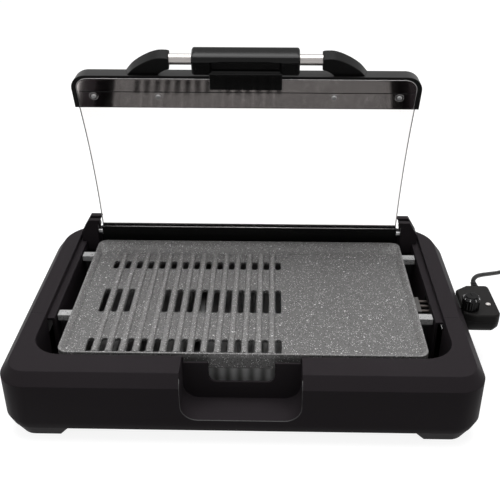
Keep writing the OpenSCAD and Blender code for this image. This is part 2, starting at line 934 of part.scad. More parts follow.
// glossy grip round the middle of the tube, with a tab that wraps the lip
module handle_grip() {
    lip = lid_reach;
    top = tube_reach + 12;
    color("#0f0e0e")
        on_lid()
            difference() {
                union() {
                    lid_extrude(-grip_hw, grip_hw)
                        polygon([
                            [lip + 1, 2.2], [top - 3, 2.2], [top, 5], [top, tube_rise + 7], [top - 4, tube_rise + 12],
                            [lip - 4, tube_rise + 12], [lip - 8.2, 26.4]]);
                    lid_extrude(-tab_hw, tab_hw)
                        polygon([[lip - 20, 0], [lip + 6, 0], [lip + 6, 2.3], [lip - 20, 2.3 - 0.4]]);
                }
                lid_cylinder(tube_reach, tube_rise, tube_d / 2 + running, -grip_hw - 1, grip_hw + 1);
            }
}

// plan of the control housing, drawn in by inset
module control_plan(inset) {
    corner = 10;
    rear_corner = 6;
    hull() {
        translate([control_x1 - corner, -control_l / 2 + corner])
            circle(r = corner - inset, $fn = 32);
        translate([control_x1 - rear_corner - 1, control_l / 2 - rear_corner])
            circle(r = rear_corner - inset, $fn = 32);
        translate([control_x0 + inset, -control_l / 2 + 6])
            square([5, control_l - 18]);
        translate([control_x0 + 14, -control_l / 2 + inset])
            square([5, 5]);
        translate([control_x0 + 16, control_l / 2 - 5 - inset])
            square([5, 5]);
    }
}

module control_slice(z, inset) {
    translate([0, 0, z])
        linear_extrude(eps)
            control_plan(inset);
}

module control_top() {
    color("#232021")
        difference() {
            hull() {
                control_slice(control_split + gap / 2, 0);
                control_slice(control_z1 - 2, 0);
                control_slice(control_z1 - eps, 1.6);
            }
            translate([dial_x, dial_y, control_z1 - shaft_l - 1])
                cylinder(r = shaft_r + running, h = shaft_l + 2);
        }
}

module control_bottom() {
    color("#1a1818")
        hull() {
            control_slice(control_split - gap / 2, 0);
            control_slice(control_z0 + 7, 0.6);
            control_slice(control_z0, 5.5);
        }
}

// nose that goes through the rail to the terminals
module control_nose() {
    sleeve_r = pin_r + 1.2;
    color("#141313")
        difference() {
            translate([nose_x0, -nose_hw, axis_z - nose_h / 2])
                cube([control_x0 - nose_x0 - gap, 2 * nose_hw, nose_h]);
            for (side = [-1, 1])
                translate([nose_x0 - 1, side * feed_y, axis_z])
                    rotate([0, 90, 0])
                        cylinder(r = sleeve_r + running, h = pin_l);
            translate([nose_x0 - 1, 0, axis_z])
                rotate([0, 90, 0])
                    cylinder(r = probe_r + running, h = 13);
        }
}

// two spring sleeves that take the terminal pins
module control_contacts() {
    color("#b5893a")
        for (side = [-1, 1])
            translate([nose_x0 + 1, side * feed_y, axis_z])
                rotate([0, 90, 0])
                    difference() {
                        cylinder(r = pin_r + 1.2, h = pin_l - 5);
                        translate([0, 0, -1])
                            cylinder(r = pin_r + 0.2, h = pin_l - 5);
                    }
}

// thermostat sensor that reaches under the plate
module sensor_probe() {
    probe_l = 70;
    color("#c9c9cb")
        translate([nose_x0 + 11, 0, axis_z])
            rotate([0, -90, 0]) {
                cylinder(r = probe_r, h = probe_l);
                translate([0, 0, probe_l])
                    cylinder(r1 = probe_r, r2 = 1.2, h = 3);
            }
}

module control_lamp() {
    lamp_r = 3.2;
    color("#c8452e")
        translate([control_x1 - 11.5, -10, control_z1])
            intersection() {
                cylinder(r = lamp_r, h = 2);
                translate([0, 0, -3])
                    sphere(r = 5);
            }
}

// dial with a fluted skirt and a sloped ring for its numbers
module control_dial() {
    flutes = 18;
    base = control_z1 + gap;
    color("#171516")
        translate([dial_x, dial_y, 0]) {
            difference() {
                union() {
                    translate([0, 0, base])
                        cylinder(d = dial_d, h = dial_h - 4);
                    translate([0, 0, base + dial_h - 4])
                        cylinder(d1 = dial_d, d2 = dial_d - 5, h = 3);
                }
                for (flute = [0 : flutes - 1])
                    rotate([0, 0, flute * 360 / flutes])
                        translate([dial_d / 2 + 0.5, 0, base - 1])
                            cylinder(r = 1.2, h = dial_h - 4, $fn = 16);
            }
            translate([0, 0, base - shaft_l])
                cylinder(r = shaft_r, h = shaft_l);
        }
}

// inset cap with a raised pointer
module dial_cap() {
    cap_z = control_z1 + gap + dial_h - 1;
    color("#3b3839")
        translate([dial_x, dial_y, cap_z]) {
            cylinder(d = dial_d - 7, h = 1);
            translate([-0.6, 0, 1])
                cube([1.2, dial_d / 2 - 4.5, 0.6]);
        }
}

// tapered rubber sleeve with three grooves
module strain_relief() {
    run = relief_end - relief_start;
    reach = norm(run);
    flat = norm([run[0], run[1]]);
    grooves = 3;
    color("#111010")
        translate(relief_start)
            rotate([0, atan2(flat, run[2]), atan2(run[1], run[0])])
                difference() {
                    cylinder(r1 = cord_d * 0.98, r2 = cord_d * 0.6, h = reach);
                    for (groove = [0 : grooves - 1])
                        translate([0, 0, 6 + groove * 6])
                            difference() {
                                cylinder(r = cord_d * 1.2, h = 2);
                                translate([0, 0, -1])
                                    cylinder(r = cord_d * 0.66, h = 4);
                            }
                }
}

// unit vector, and the smooth curve through the route's points
function unit(v) = v / max(norm(v), eps);
function clamped(points, i) = points[min(max(i, 0), len(points) - 1)];
function curve_at(points, i, t) =
    let (a = clamped(points, i - 1), b = clamped(points, i), c = clamped(points, i + 1), d = clamped(points, i + 2))
    b + t * (c - a) / 2 + t * t * (2 * a - 5 * b + 4 * c - d) / 2 + t * t * t * (3 * b - a - 3 * c + d) / 2;
function ring_at(points, i, radius, sides) =
    let (along = unit(clamped(points, i + 1) - clamped(points, i - 1)),
        across = unit(cross(along, [0, 0, 1])),
        over = cross(across, along))
    [for (side = [0 : sides - 1])
        points[i] + radius * (cos(side * 360 / sides) * across + sin(side * 360 / sides) * over)];

// round tube swept along a route, closed at both ends
module swept_tube(points, radius, sides) {
    rings = [for (i = [0 : len(points) - 1]) each ring_at(points, i, radius, sides)];
    last = (len(points) - 1) * sides;
    polyhedron(
        points = rings,
        faces = concat(
            [[for (side = [0 : sides - 1]) side]],
            [[for (side = [0 : sides - 1]) last + sides - 1 - side]],
            [for (i = [0 : len(points) - 2], side = [0 : sides - 1])
                [i * sides + side, (i + 1) * sides + side, (i + 1) * sides + (side + 1) % sides,
                    i * sides + (side + 1) % sides]]));
}

module power_cord() {
    color("#131212")
        swept_tube(cord_points, cord_d / 2, 10);
}

// short end of the cord, from the coil to the plug
module plug_lead() {
    color("#131212")
        swept_tube(lead_points, cord_d / 2, 10);
}

// outer shape of the wound part of the cord
module cord_coil() {
    half = cord_d + 0.3;
    height = cord_d * 1.87;
    color("#131212")
        translate([coil_c[0], coil_c[1], coil_z0])
            rotate_extrude($fn = 72)
                translate([coil_mid_r, 0])
                    polygon([
                        [-half + 2, 0], [half - 2, 0], [half, 2], [half, height / 2], [half / 2, height],
                        [-half / 2, height], [-half, height / 2], [-half, 2]]);
}

// tie round the coil's turns
module cord_tie() {
    band = 1;
    half = cord_d + 0.3 + 0.2;
    height = cord_d * 1.87 + 0.2;
    tie_w = 9;
    color("#202020")
        translate([coil_c[0] - coil_mid_r, coil_c[1] + tie_w / 2, coil_z0 - 0.15])
            rotate([90, 0, 0])
                linear_extrude(tie_w)
                    difference() {
                        translate([-half - band - 0.6, -band])
                            square([2 * (half + band) + 1.2, height + 2 * band]);
                        translate([-half - 0.6, 0])
                            square([2 * half + 1.2, height]);
                    }
}

// plug with a waisted grip, lying beside the coil
module plug_body() {
    plug_w = 24;
    color("#151414")
        translate([plug_at[0], plug_at[1], 0])
            difference() {
                hull() {
                    translate([0, 0, plug_h / 2])
                        rotate([90, 0, 0])
                            cylinder(d = 11, h = 2, $fn = 32);
                    translate([-plug_w / 2, -plug_l, 0.2])
                        cube([plug_w, plug_l * 0.6, plug_h]);
                }
                for (side = [-1, 1])
                    translate([side * (plug_w / 2 + 4), -plug_l * 0.45, -1])
                        cylinder(r = 6.5, h = plug_h + 2);
            }
}

module plug_blades() {
    blade_w = 6.3;
    blade_t = 1.5;
    blade_gap = 12.7;
    color("#c9a94e")
        for (side = [-1, 1])
            translate([
                plug_at[0] + side * blade_gap / 2 - blade_t / 2,
                plug_at[1] - plug_l - blade_l,
                plug_h / 2 + 0.2 - blade_w / 2])
                cube([blade_t, blade_l, blade_w]);
}

front_cover();
rear_frame();
floor_pan();
foot_pads();
housing_screws();
plate_rests();
hinge_bracket_left();
hinge_bracket_right();
drip_tray();
element_straps();
heating_element();
terminal_bracket();
terminal_block();
terminal_pins();
socket_bezel();
grill_plate();
hinge_rod();
lid_glass();
lid_hinge_bar();
lid_clamp_strip();
lid_front_trim();
lid_screws();
handle_post_left();
handle_post_right();
handle_tube();
handle_grip();
control_top();
control_bottom();
control_nose();
control_contacts();
sensor_probe();
control_lamp();
control_dial();
dial_cap();
strain_relief();
power_cord();
cord_coil();
cord_tie();
plug_lead();
plug_body();
plug_blades();
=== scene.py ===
"""Electric indoor grill with a hinged glass lid and a plug-in temperature control."""
import math

import bpy
import numpy as np
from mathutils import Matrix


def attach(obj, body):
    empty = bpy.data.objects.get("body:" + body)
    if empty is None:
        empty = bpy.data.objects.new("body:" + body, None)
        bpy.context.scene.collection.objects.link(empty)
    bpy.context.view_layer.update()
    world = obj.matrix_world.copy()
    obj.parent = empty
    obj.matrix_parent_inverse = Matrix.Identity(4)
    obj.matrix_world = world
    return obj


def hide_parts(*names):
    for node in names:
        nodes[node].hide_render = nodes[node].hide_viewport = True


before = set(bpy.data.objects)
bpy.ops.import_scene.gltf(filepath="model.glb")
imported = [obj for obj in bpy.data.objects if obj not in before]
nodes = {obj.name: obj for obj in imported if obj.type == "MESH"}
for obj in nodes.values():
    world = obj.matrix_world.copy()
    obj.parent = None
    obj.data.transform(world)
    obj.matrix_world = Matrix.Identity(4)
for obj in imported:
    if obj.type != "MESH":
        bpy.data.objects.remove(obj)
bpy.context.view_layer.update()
scene = bpy.context.scene

# Camera: 0.87 m in front of the grill's middle and 0.65 m above the worktop, a little to the right. It looks
# down at 29.5 degrees, and its sideways shift sets the grill's place in the frame.
camera_data = bpy.data.cameras.new("camera")
camera_data.lens = 57.1
camera_data.shift_x = -0.0116
camera_data.sensor_width = 36
camera_data.clip_end = 60
camera = bpy.data.objects.new("camera", camera_data)
camera.location = (0.0316, -0.8735, 0.6498)
camera.rotation_euler = (math.radians(60.5), 0, math.radians(1.216))
scene.collection.objects.link(camera)
scene.camera = camera


# Power cord: black PVC lead, 6.2 mm thick, moulded into the control's strain relief. It drops to the worktop
# and runs back. The spare length is wound in three and a quarter turns with a tie, and ends in the plug.
class Value:
    """A shader number that takes part in sums: each operator adds its Math node to the tree."""

    def __init__(self, tree, socket):
        self.tree = tree
        self.socket = socket

    def math(self, operation, *terms):
        """One Math node on the terms, each of them a value or a plain number."""
        made = self.tree.nodes.new("ShaderNodeMath")
        made.operation = operation
        for number, term in enumerate(terms):
            if isinstance(term, Value):
                self.tree.links.new(term.socket, made.inputs[number])
            else:
                made.inputs[number].default_value = term
        return Value(self.tree, made.outputs[0])

    def __add__(self, other):
        return self.math("ADD", self, other)

    def __sub__(self, other):
        return self.math("SUBTRACT", self, other)

    def __rsub__(self, other):
        return self.math("SUBTRACT", other, self)

    def __mul__(self, other):
        return self.math("MULTIPLY", self, other)

    __radd__, __rmul__ = __add__, __mul__

    def above(self, limit):
        """1 where the value is above the limit, 0 elsewhere."""
        return self.math("GREATER_THAN", self, limit)

    def below(self, limit):
        """1 where the value is below the limit, 0 elsewhere."""
        return self.math("LESS_THAN", self, limit)


class Finish:
    """One material: a Principled shader whose patterns lie on the piece's own Object coordinates."""

    def __init__(self, name, **sockets):
        self.material = bpy.data.materials.new(name)
        self.material.use_nodes = True
        self.tree = self.material.node_tree
        self.shader = self.tree.nodes["Principled BSDF"]
        for socket, value in sockets.items():
            self.set(self.shader, socket.replace("_", " "), value)

    def set(self, target, socket, value):
        """Links a value to a node's socket, or writes a plain number or colour into it."""
        if isinstance(value, Value):
            self.tree.links.new(value.socket, target.inputs[socket])
        else:
            target.inputs[socket].default_value = value

    def node(self, kind, settings=None, out=0, numbered=None, **named):
        """Any other node: its settings are written first, then its sockets by number or by name."""
        made = self.tree.nodes.new("ShaderNode" + kind)
        for setting, value in (settings or {}).items():
            setattr(made, setting, value)
        for socket, value in (numbered or {}).items():
            self.set(made, socket, value)
        for socket, value in named.items():
            self.set(made, socket.replace("_", " "), value)
        return Value(self.tree, made.outputs[out])

    def place(self, stretch=(1, 1, 1)):
        """The piece's own coordinates in metres, multiplied by the stretch along x, y and z."""
        spot = self.node("TexCoord", out="Object")
        return self.node("Mapping", Vector=spot, Scale=stretch)

    def noise(self, scale, detail=4, stretch=(1, 1, 1), roughness=0.5):
        """Cloudy pattern between 0 and 1, with about as many lumps a metre as the scale."""
        spot = self.place(stretch)
        return self.node("TexNoise", Vector=spot, Scale=scale, Detail=detail, Roughness=roughness)

    def mix(self, factor, first, second):
        """Colour that goes from the first to the second as the factor goes from 0 to 1."""
        return self.node("Mix", {"data_type": "RGBA"}, out=2, numbered={0: factor, 6: first, 7: second})

    def colour(self, factor, first, second):
        """Base colour that goes from the first to the second as the factor goes from 0 to 1."""
        self.set(self.shader, "Base Color", self.mix(factor, first, second))

    def rough(self, pattern, low, span):
        """Roughness: low plus span times the pattern."""
        self.set(self.shader, "Roughness", pattern * span + low)

    def soft_edges(self, radius):
        """Normals that turn over an edge as if it were rounded to this radius."""
        return self.node("Bevel", {"samples": 6}, Radius=radius)

    def relief(self, height, depth, strength, under=None):
        """Bumps of this depth in metres, laid over the normals under them where there are any."""
        sockets = {"Height": height, "Distance": depth, "Strength": strength}
        if under is not None:
            sockets["Normal"] = under
        self.set(self.shader, "Normal", self.node("Bump", **sockets))

    def on(self, *pieces):
        """Gives the pieces this material and no other."""
        for piece in pieces:
            piece.data.materials.clear()
            piece.data.materials.append(self.material)


def grey(level, warmth=0.0):
    """Grey of a linear level: red is raised by the warmth, and blue lowered by half of it."""
    return (level * (1 + warmth), level, level * (1 - warmth / 2), 1)


def add_mesh(name, points, faces, smooth=True):
    """New object that sits at the origin, with its place in its mesh."""
    mesh = bpy.data.meshes.new(name)
    mesh.from_pydata(np.asarray(points).tolist(), [], faces)
    mesh.update()
    if smooth:
        mesh.polygons.foreach_set("use_smooth", np.ones(len(mesh.polygons), bool))
    made = bpy.data.objects.new(name, mesh)
    scene.collection.objects.link(made)
    return made


def capped_faces(rows, columns):
    """Faces of a closed outline carried along a path, with a row of points for each station.

    Each quad joins two neighbours of a row to the same two of the next row, the last point of a row is the
    first one's neighbour, and one face closes each end.
    """
    i, j = np.meshgrid(np.arange(rows - 1), np.arange(columns), indexing="ij")
    i, j = i.ravel(), j.ravel()
    beside = (j + 1) % columns
    quads = np.stack(
        [i * columns + j, i * columns + beside, (i + 1) * columns + beside, (i + 1) * columns + j], 1)
    last_row = (rows - 1) * columns
    return [*quads.tolist(), list(range(columns))[::-1], list(range(last_row, last_row + columns))]


def through(points, step, cuts=12):
    """Smooth curve through points: Catmull-Rom, then evened out so that its points are a step apart.

    Between b and c, with a before them and d after, and t from 0 to 1, it is b + t * (c - a) / 2
    + t squared * (2a - 5b + 4c - d) / 2 + t cubed * (3b - a - 3c + d) / 2.
    """
    p = np.vstack([2 * points[0] - points[1], points, 2 * points[-1] - points[-2]])
    t = np.linspace(0, 1, cuts, endpoint=False)[:, None]
    parts = [
        b + t * (c - a) / 2 + t**2 * (2 * a - 5 * b + 4 * c - d) / 2 + t**3 * (3 * b - a - 3 * c + d) / 2
        for a, b, c, d in zip(p[:-3], p[1:-2], p[2:-1], p[3:])
    ]
    fine_path = np.vstack([*parts, points[-1:]])
    along = np.append(0, np.cumsum(np.linalg.norm(np.diff(fine_path, axis=0), axis=1)))
    at = np.linspace(0, along[-1], int(along[-1] / step) + 1)
    return np.stack([np.interp(at, along, fine_path[:, k]) for k in range(3)], 1)


def tube(name, path, radius, sides=14):
    """Round tube: path + radius * (cos a * across + sin a * over), a from 0 to a full turn.

    Across is level and square to the path, and over is square to both.
    """
    ahead = np.gradient(path, axis=0)
    ahead /= np.linalg.norm(ahead, axis=1)[:, None]
    across = np.cross(ahead, [0, 0, 1.0])
    across /= np.linalg.norm(across, axis=1)[:, None]
    over = np.cross(across, ahead)
    turn = np.linspace(0, 2 * np.pi, sides, endpoint=False)[None, :, None]
    points = path[:, None] + radius * (np.cos(turn) * across[:, None] + np.sin(turn) * over[:, None])
    return add_mesh(name, points.reshape(-1, 3), capped_faces(len(path), sides))


cord_d = 0.0062
cord_step = 0.003
coil_centre = np.array([0.478, 0.212])
coil_z = 0.0043
route = np.array([
    [0.3125, 0.0655, 0.0700], [0.3146, 0.074, 0.0692], [0.3187, 0.083, 0.0673], [0.3245, 0.093, 0.064],
    [0.3315, 0.103, 0.0595], [0.3395, 0.114, 0.054], [0.348, 0.126, 0.0475], [0.357, 0.139, 0.0405],
    [0.366, 0.152, 0.0335], [0.375, 0.165, 0.0265], [0.384, 0.178, 0.020], [0.393, 0.191, 0.0142],
    [0.402, 0.204, 0.0094], [0.411, 0.2165, 0.0062], [0.421, 0.228, 0.0047], [0.432, 0.2375, 0.0043],
    [0.444, 0.2445, 0.0043]])
lead = np.array([
    [0.514, 0.203, 0.0104], [0.514, 0.195, 0.0106], [0.514, 0.187, 0.0104], [0.514, 0.179, 0.0100],
    [0.514, 0.171, 0.0094], [0.514, 0.164, 0.0089], [0.514, 0.158, 0.0087]])
# the turns, by the degrees swept: an outer and an inner one lie flat, and the last rises between them
turn_at = np.arange(18.0, 1195.0, 24.0)
turn_radius = np.interp(
    turn_at, [0, 18, 350, 400, 740, 800, 1200], [0.0415, 0.0392, 0.0392, 0.0329, 0.0329, 0.036, 0.036])
turn_height = np.interp(turn_at, [0, 740, 800, 1200], [coil_z, coil_z, 0.0097, 0.0148])
coil_start = 118
turn_angle = np.radians(coil_start - turn_at)
turns = np.stack([
    coil_centre[0] + turn_radius * np.cos(turn_angle),
    coil_centre[1] + turn_radius * np.sin(turn_angle),
    turn_height], 1)
cord_path = through(np.vstack([route, turns, lead]), cord_step)

pvc = Finish("cord_pvc", Base_Color=grey(0.006), Roughness=0.4, Specular_IOR_Level=0.05)
pvc.relief(pvc.noise(900, detail=2), depth=0.00012, strength=0.35)
cord = tube("cord", cord_path, cord_d / 2)
pvc.on(cord, nodes["strain_relief"], nodes["cord_tie"])
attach(cord, "control")
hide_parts("power_cord", "cord_coil", "plug_lead")

# Plug: soft black rubber with a fine grain, moulded round the cord's end and the roots of two flat blades.
# The blades are plain brass with lightly rounded edges.
plug_rubber = Finish("plug_rubber", Base_Color=grey(0.012), Roughness=0.5, Specular_IOR_Level=0.15)
plug_edges = plug_rubber.soft_edges(0.0015)
plug_rubber.relief(plug_rubber.noise(700, detail=3), depth=0.0001, strength=0.3, under=plug_edges)
plug_rubber.on(nodes["plug_body"])
blade_brass = Finish("blade_brass", Base_Color=(0.8, 0.62, 0.3, 1), Metallic=1.0, Roughness=0.28)
blade_edges = blade_brass.soft_edges(0.0003)
blade_brass.relief(blade_brass.noise(1500, detail=2), depth=0.00005, strength=0.2, under=blade_edges)
blade_brass.on(nodes["plug_blades"])


# Housing covers and hinge brackets: matte black moulded plastic with a fine spark-eroded grain. The front
# cover is a U that meets the rear frame at a seam on each side, and a hooked bracket on each side holds the
# hinge rod.
def smooth_by_angle(limit):
    """Geometry nodes that shade every face smooth and keep edges that turn by more than the limit sharp."""
    group = bpy.data.node_groups.new("smooth_by_angle", "GeometryNodeTree")
    group.is_modifier = True
    for way in ("INPUT", "OUTPUT"):
        group.interface.new_socket("Geometry", in_out=way, socket_type="NodeSocketGeometry")
    enter = group.nodes.new("NodeGroupInput")
    leave = group.nodes.new("NodeGroupOutput")
    all_faces = group.nodes.new("GeometryNodeSetShadeSmooth")
    sharp_edges = group.nodes.new("GeometryNodeSetShadeSmooth")
    sharp_edges.domain = "EDGE"
    sharp_edges.inputs["Shade Smooth"].default_value = False
    bend = group.nodes.new("GeometryNodeInputMeshEdgeAngle")
    steep = group.nodes.new("FunctionNodeCompare")
    steep.operation = "GREATER_THAN"
    steep.inputs[1].default_value = math.radians(limit)
    group.links.new(bend.outputs[0], steep.inputs[0])
    group.links.new(steep.outputs[0], sharp_edges.inputs["Selection"])
    group.links.new(enter.outputs[0], all_faces.inputs["Geometry"])
    group.links.new(all_faces.outputs[0], sharp_edges.inputs["Geometry"])
    group.links.new(sharp_edges.outputs[0], leave.inputs[0])
    return group


smoothing = smooth_by_angle(limit=31)
bevelled_from = math.radians(38)
weld_gap = 0.00001


def smoothed(*pieces, edge=0.0):
    """Welded corners, an edge rounded to the given width where one is asked for, and smooth shading."""
    for piece in pieces:
        piece.modifiers.new("weld", "WELD").merge_threshold = weld_gap
        if edge:
            rounding = piece.modifiers.new("rounding", "BEVEL")
            rounding.width = edge
            rounding.segments = 3
            rounding.limit_method = "ANGLE"
            rounding.angle_limit = bevelled_from
        piece.modifiers.new("smoothing", "NODES").node_group = smoothing
        piece.modifiers.new("flat_faces", "WEIGHTED_NORMAL").keep_sharp = True


housing = Finish("housing_plastic", Roughness=0.52, Specular_IOR_Level=0.03)
cloud = housing.noise(9, detail=3)
housing.colour(cloud, (0.0165, 0.0140, 0.0158, 1), (0.0205, 0.0175, 0.0195, 1))
housing.rough(cloud, low=0.46, span=0.08)
housing_edges = housing.soft_edges(0.0016)
housing.relief(housing.noise(1400, detail=2), depth=0.00010, strength=0.22, under=housing_edges)
housing.on(nodes["front_cover"], nodes["rear_frame"])
housing.on(nodes["hinge_bracket_left"], nodes["hinge_bracket_right"])
smoothed(nodes["front_cover"], nodes["rear_frame"])
smoothed(nodes["hinge_bracket_left"], nodes["hinge_bracket_right"], edge=0.0012)


# Bead round the front edge of the hand recess: a thin thread along the edge, coloured lighter than the cover
# as a painted highlight on the rounded edge. It runs down one side, along the foot and up the other, and
# leans back at the top with the cover's bevel.
def arc(x, y, radius, start, end, count=9):
    """Points (x + radius * cos a, y + radius * sin a) with a from start to end degrees."""
    a = np.radians(np.linspace(start, end, count))
    return np.stack([x + radius * np.cos(a), y + radius * np.sin(a)], 1)


recess_half, recess_foot, recess_r = 0.069, 0.037, 0.020
front_y = -0.186
bevel_foot = 0.082
bevel_back, bevel_up = 11, 14
recess_bead_r = 0.0006
recess_side = np.array([[recess_half, 0.0905], [recess_half, 0.0822], [recess_half, 0.070]])
recess_path = np.vstack([
    recess_side, arc(recess_half - recess_r, recess_foot + recess_r, recess_r, 0, -90),
    arc(recess_r - recess_half, recess_foot + recess_r, recess_r, -90, -180), recess_side[::-1] * [-1, 1]])
leaning = np.clip(recess_path[:, 1] - bevel_foot, 0, 1) * bevel_back / bevel_up
recess_y = front_y + recess_bead_r + leaning
recess_bead = tube(
    "recess_bead", np.column_stack([recess_path[:, 0], recess_y, recess_path[:, 1]]), recess_bead_r, sides=8)
# painted highlight: lighter than the housing, along the recess's edge
recess_edge_highlight = Finish("recess_bead", Roughness=0.4, Specular_IOR_Level=0.3)
recess_edge_highlight.colour(recess_edge_highlight.noise(200, detail=3), grey(0.03), grey(0.045))
recess_edge_highlight.on(recess_bead)
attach(recess_bead, "base")

# Floor pan, plate rests and socket sleeve: matte black plastic inside the covers. Plain steel screws run down
# through the pan into the four feet, and the grill stands on the rubber pads under them.
inner = Finish("inner_plastic", Roughness=0.6, Specular_IOR_Level=0.15)
inner.colour(inner.noise(20, detail=3), grey(0.008), grey(0.013))
inner.relief(inner.noise(900, detail=2), depth=0.0001, strength=0.3, under=inner.soft_edges(0.001))
inner.on(nodes["floor_pan"], nodes["plate_rests"], nodes["socket_bezel"])
rubber = Finish("pad_rubber", Roughness=0.8)
rubber.colour(rubber.noise(60, detail=3), grey(0.012), grey(0.02))
rubber.relief(rubber.noise(1200, detail=3), depth=0.0001, strength=0.4)
rubber.on(nodes["foot_pads"])
steel = Finish("plain_steel", Base_Color=(0.3, 0.3, 0.3, 1), Metallic=1.0)
steel.rough(steel.noise(300, detail=2, stretch=(1, 8, 1)), low=0.3, span=0.2)
steel.relief(steel.noise(400, detail=2), depth=0.00005, strength=0.2, under=steel.soft_edges(0.0004))
steel.on(nodes["housing_screws"])
smoothed(nodes["foot_pads"], nodes["floor_pan"], nodes["housing_screws"])

# Drip tray: folded from one sheet of aluminium with a mill finish, and laid in under the element. Its front
# wall is painted lighter than the rest, with bright and dark stripes from one fold to the next: painted light
# and shade on the folds. The rest of it is an even grey.
fold_pitch = 0.014
tray_front_wall = -0.1234
foil = Finish("tray_aluminium", Metallic=0.2)
mill_lines = foil.noise(260, detail=2, stretch=(1, 14, 14))
foil.rough(mill_lines, low=0.28, span=0.2)
tray_spot = foil.place()
lengthwise = foil.node("SeparateXYZ", out="X", Vector=tray_spot)
backward = foil.node("SeparateXYZ", out="Y", Vector=tray_spot)
# painted light and shade: a sine across x, bright and dark in turn, one pair of stripes for each fold
fold_shading_wave = lengthwise.math("SINE", lengthwise * (2 * math.pi / fold_pitch))
painted_fold_shading = foil.mix(fold_shading_wave * 0.5 + 0.5, grey(0.34), grey(0.95))
# the front wall gets the painted fold shading, lighter than the even grey of the rest
foil.colour(backward.below(tray_front_wall), grey(0.22), painted_fold_shading)
foil.relief(mill_lines, depth=0.0001, strength=0.25)
foil.on(nodes["drip_tray"])
smoothed(nodes["drip_tray"])

# Heating element: steel sheath dulled by heat, clipped to two steel straps. It ends at a dark ceramic block
# on a steel bracket, and the control plugs onto the terminal pins that stand out of the block.
sheath = Finish("element_sheath", Metallic=0.8)
heat = sheath.noise(45)
sheath.colour(heat, (0.035, 0.03, 0.03, 1), (0.10, 0.085, 0.075, 1))
sheath.rough(heat, low=0.4, span=0.25)
sheath.on(nodes["heating_element"], nodes["terminal_pins"])
steel.on(nodes["element_straps"], nodes["terminal_bracket"])
ceramic = Finish("ceramic", Roughness=0.65)
ceramic.colour(ceramic.noise(80), grey(0.05, 0.06), grey(0.085, 0.06))
ceramic.on(nodes["terminal_block"])
smoothed(nodes["heating_element"], nodes["terminal_pins"])

# Grill plate: cast aluminium under a grey non-stick coating speckled like granite. Its four side lugs stand
# on the rests. The ribs are painted lighter than the floor between them, the lighter the higher they rise:
# painted light on their tops. The lugs are lighter still.
stone = Finish("granite_coating", Specular_IOR_Level=0.3)
spot = stone.place()
floor_z, rib_height = 0.0858, 0.003
lug_start = 0.2176


def grains(scale):
    """Distance to the middle of the nearest grain, and a random number of its own for each grain."""
    distance = stone.node("TexVoronoi", Vector=spot, Scale=scale)
    middle = stone.node("TexVoronoi", out="Position", Vector=spot, Scale=scale)
    return distance, stone.node("TexWhiteNoise", out="Value", Vector=middle)


fine, fine_draw = grains(620.0)
coarse, coarse_draw = grains(170.0)
flecks = fine.below(0.3) * fine_draw.above(0.66)
blots = coarse.below(0.2) * coarse_draw.above(0.90)
darks = fine.below(0.34) * fine_draw.below(0.3)
# painted light: the higher above the plate's floor, the lighter, up to the ribs' tops
raised = (stone.node("SeparateXYZ", out="Z", Vector=spot) - floor_z) * (1 / rib_height)
painted_rib_light = stone.mix(raised, grey(0.12, 0.015), grey(0.22, 0.015))
coating = stone.mix(stone.noise(240, roughness=0.7), grey(0.09, 0.015), painted_rib_light)
sideways = stone.node("SeparateXYZ", out="X", Vector=spot)
on_lugs = sideways.math("ABSOLUTE", sideways).above(lug_start)
coating = stone.mix(on_lugs, coating, stone.mix(stone.noise(90, detail=3), grey(0.30), grey(0.42)))
coating = stone.mix(darks, coating, grey(0.018))
coating = stone.mix(flecks, coating, grey(0.55, 0.01))
stone.colour(blots, coating, grey(0.5, 0.01))
stone.rough(stone.noise(300, detail=3), low=0.30, span=0.2)
stone.relief(stone.noise(520, detail=3), depth=0.0002, strength=0.35, under=stone.soft_edges(0.0012))
stone.on(nodes["grill_plate"])
smoothed(nodes["grill_plate"])

# Rim of the plate: a painted highlight along its top edge, a bright line round the plate. The line is a
# thread of 1 mm along the edge.
rim_half, rim_front, rim_rear = 0.2161, -0.1331, 0.1361
rim_corner, rim_z, rim_r = 0.0112, 0.0919, 0.0005
rim_plan = np.vstack([
    arc(rim_half - rim_corner, rim_front + rim_corner, rim_corner, -90, 0),
    arc(rim_half - rim_corner, rim_rear - rim_corner, rim_corner, 0, 90),
    arc(rim_corner - rim_half, rim_rear - rim_corner, rim_corner, 90, 180),
    arc(rim_corner - rim_half, rim_front + rim_corner, rim_corner, 180, 270)])
rim_loop = np.vstack([rim_plan, rim_plan[:1]])
rim = tube("plate_rim", np.column_stack([rim_loop, np.full(len(rim_loop), rim_z)]), rim_r, sides=8)
# painted highlight: light grey along the plate's top edge
rim_highlight = Finish("rim_edge", Roughness=0.35)
rim_highlight.colour(rim_highlight.noise(300, detail=3), grey(0.22), grey(0.5))
rim_highlight.on(rim)
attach(rim, "base")

# Lid pane: clear tempered glass with faint smears, bent to a shallow curve. The hinge bar grips its rear
# edge and the front trim its front edge.
pane = Finish("clear_glass", IOR=1.5, Transmission_Weight=1.0)
smears = pane.noise(14, detail=3, stretch=(3, 0.6, 0.6))
pane.colour(smears, (0.965, 0.95, 0.945, 1), (0.995, 0.98, 0.975, 1))
pane.rough(smears, low=0.005, span=0.02)
pane.on(nodes["lid_glass"])
smoothed(nodes["lid_glass"])

# Side edges of the pane: a grey band 1.2 mm wide along each side, that follows the bend.
lid_open = math.radians(68.3)
hinge_y, hinge_z = 0.150, 0.100


def on_lid(points):
    """World places of (x, reach, rise) points on the lid.

    Reach runs forward from the hinge axis and rise upward when the lid is shut. Opened by an angle a, the
    place is y = hinge y - reach * cos a + rise * sin a and z = hinge z + reach * sin a + rise * cos a.
    """
    x, reach, rise = np.asarray(points, float).T
    y = hinge_y - reach * math.cos(lid_open) + rise * math.sin(lid_open)
    z = hinge_z + reach * math.sin(lid_open) + rise * math.cos(lid_open)
    return np.stack([x, y, z], 1)


